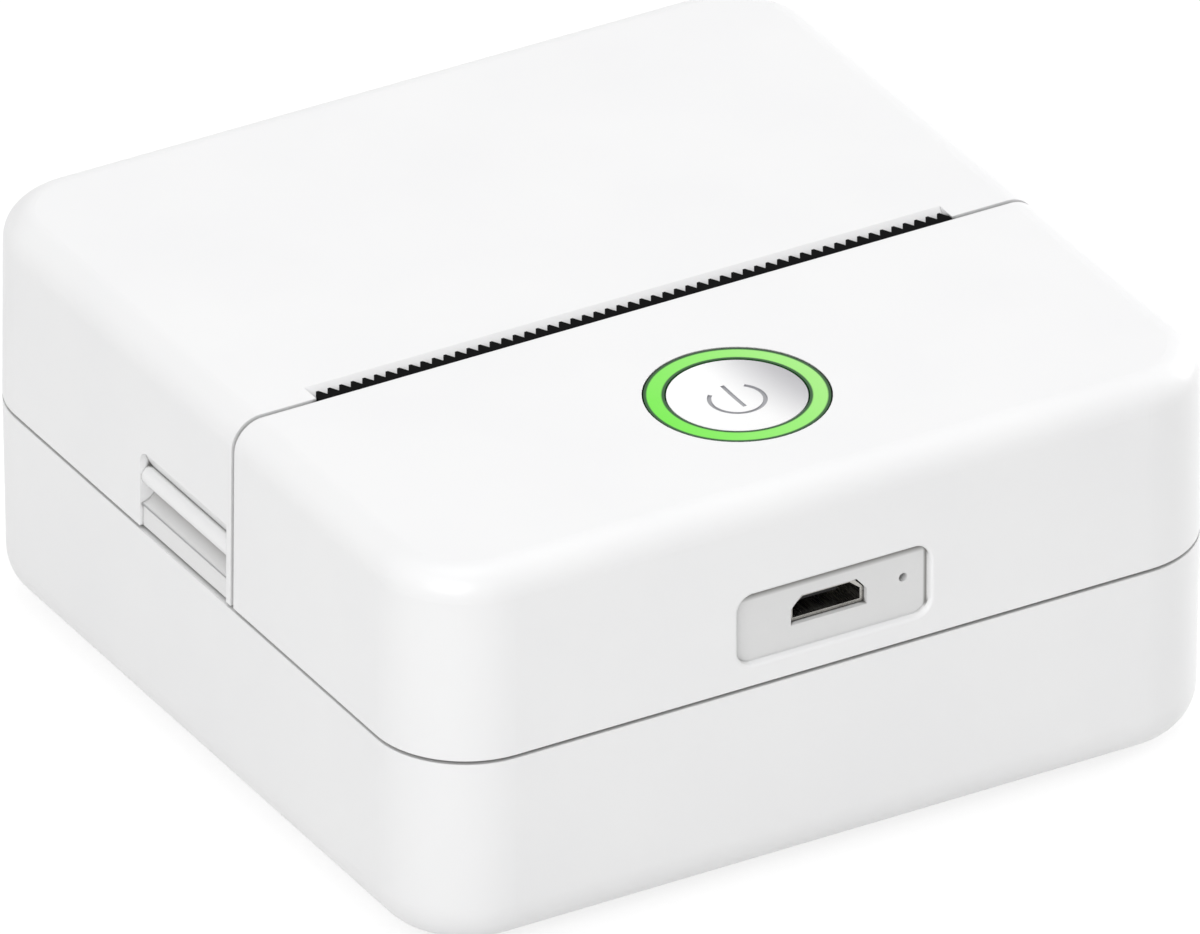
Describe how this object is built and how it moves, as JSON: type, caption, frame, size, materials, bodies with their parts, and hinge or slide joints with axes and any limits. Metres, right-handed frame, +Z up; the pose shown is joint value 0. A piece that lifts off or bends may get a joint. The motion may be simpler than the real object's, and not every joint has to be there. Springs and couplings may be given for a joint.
{
  "type": "portable thermal printer",
  "caption": "Rounded square portable thermal printer with a hinged paper cover, tear bar, ringed power button and charging socket.",
  "frame": {"origin": "middle of the outer box at the underside of the feet", "axes": "+Z up, the socket face looks to -Y, the cover hinges at the +Y side, +X to the right seen from the front"},
  "size_m": [0.083, 0.0834, 0.0394],
  "materials": {
    "white_abs": "moulded ABS, white, satin gloss",
    "white_button": "moulded ABS, pale grey white, gloss",
    "green_lens": "clear green acrylic light guide",
    "black_steel": "blackened saw-tooth steel",
    "foot_rubber": "grey silicone rubber",
    "platen_rubber": "ground black silicone rubber",
    "bright_steel": "turned or pressed bright steel",
    "screw_steel": "zinc-plated steel",
    "frame_plastic": "moulded black glass-filled nylon",
    "cradle_plastic": "moulded light grey ABS",
    "gear_plastic": "moulded natural acetal",
    "bearing_plastic": "moulded dark acetal",
    "heatsink_aluminium": "extruded aluminium",
    "head_ceramic": "glazed alumina heater strip",
    "chip_resin": "black potting resin",
    "board_green": "glass epoxy with green solder mask",
    "chip_black": "moulded epoxy",
    "radio_shield": "tinned shield",
    "lamp_white": "lamp package",
    "socket_steel": "stamped nickel-plated steel",
    "tongue_black": "moulded black contact tongue",
    "battery_wrap": "blue shrink wrap",
    "lead_red": "silicone-sheathed lead",
    "plug_white": "moulded nylon plug"
  },
  "bodies": {
    "case": {"base_shell": "white_abs", "front_shell": "white_abs", "rubber_feet": "foot_rubber", "tear_bar": "black_steel", "light_ring": "green_lens", "hinge_pins": "bright_steel", "print_frame": "frame_plastic", "paper_cradle": "cradle_plastic", "head_pivot_pin": "bright_steel", "head_springs": "bright_steel", "gear_axles": "bright_steel", "motor_can": "bright_steel", "main_board": "board_green", "usb_socket_shell": "socket_steel", "usb_socket_tongue": "tongue_black", "reset_switch": "chip_black", "status_leds": "lamp_white", "power_switch": "chip_black", "battery_pack": "battery_wrap", "battery_lead": "lead_red", "battery_plug": "plug_white", "board_chips": "chip_black", "radio_module": "radio_shield", "paper_sensor": "chip_black", "case_screws": "screw_steel", "board_screws": "screw_steel", "frame_screws": "screw_steel", "cradle_screws": "screw_steel", "motor_screws": "screw_steel"},
    "cover": {"cover_shell": "white_abs", "platen_holder": "bright_steel", "platen_bushings": "bearing_plastic", "holder_screws": "screw_steel"},
    "platen": {"platen_shaft": "bright_steel", "platen_rubber": "platen_rubber", "platen_gear": "gear_plastic"},
    "print_head": {"head_heatsink": "heatsink_aluminium", "head_ceramic": "head_ceramic", "head_chip_cover": "chip_resin"},
    "compound_gear": {"compound_gear": "gear_plastic"},
    "idler_gear": {"idler_gear": "gear_plastic"},
    "motor_rotor": {"motor_shaft": "bright_steel", "motor_pinion": "gear_plastic"},
    "power_button": {"power_button": "white_button", "power_switch_plunger": "plug_white"},
    "reset_plunger": {"reset_plunger": "frame_plastic"}
  },
  "joints": [
    {"name": "cover_hinge", "type": "hinge", "parent": "case", "child": "cover", "pos_m": [0, 0.039, 0.02055], "axis": [-1, 0, 0], "range_deg": [0, 80]},
    {"name": "platen_turn", "type": "hinge", "parent": "cover", "child": "platen", "pos_m": [0, -0.0013, 0.03], "axis": [1, 0, 0], "continuous": true},
    {"name": "head_pivot", "type": "hinge", "parent": "case", "child": "print_head", "pos_m": [0, -0.00765, 0.0205], "axis": [1, 0, 0], "range_deg": [0, 3], "stiffness_Nm_per_rad": 0.35, "springref_deg": -2.86, "deforming": ["head_springs"]},
    {"name": "motor_turn", "type": "hinge", "parent": "case", "child": "motor_rotor", "pos_m": [0.036, -0.02391, 0.0111], "axis": [1, 0, 0], "continuous": true},
    {"name": "compound_gear_turn", "type": "hinge", "parent": "case", "child": "compound_gear", "pos_m": [0.036, -0.01242, 0.01455], "axis": [1, 0, 0], "continuous": true},
    {"name": "idler_gear_turn", "type": "hinge", "parent": "case", "child": "idler_gear", "pos_m": [0.035, -0.00392, 0.0188], "axis": [1, 0, 0], "continuous": true},
    {"name": "power_button_press", "type": "slide", "parent": "case", "child": "power_button", "axis": [0, 0, -1], "range_m": [0, 0.0005], "stiffness_N_per_m": 600, "springref_m": -0.0005},
    {"name": "reset_press", "type": "slide", "parent": "case", "child": "reset_plunger", "axis": [0, 1, 0], "range_m": [0, 0.00025], "stiffness_N_per_m": 300, "springref_m": -0.0002}
  ],
  "couplings": [
    {"joint": "idler_gear_turn", "follows": "platen_turn", "ratio": -0.91667},
    {"joint": "compound_gear_turn", "follows": "platen_turn", "ratio": 1.5714},
    {"joint": "motor_turn", "follows": "platen_turn", "ratio": -4.7143}
  ]
}
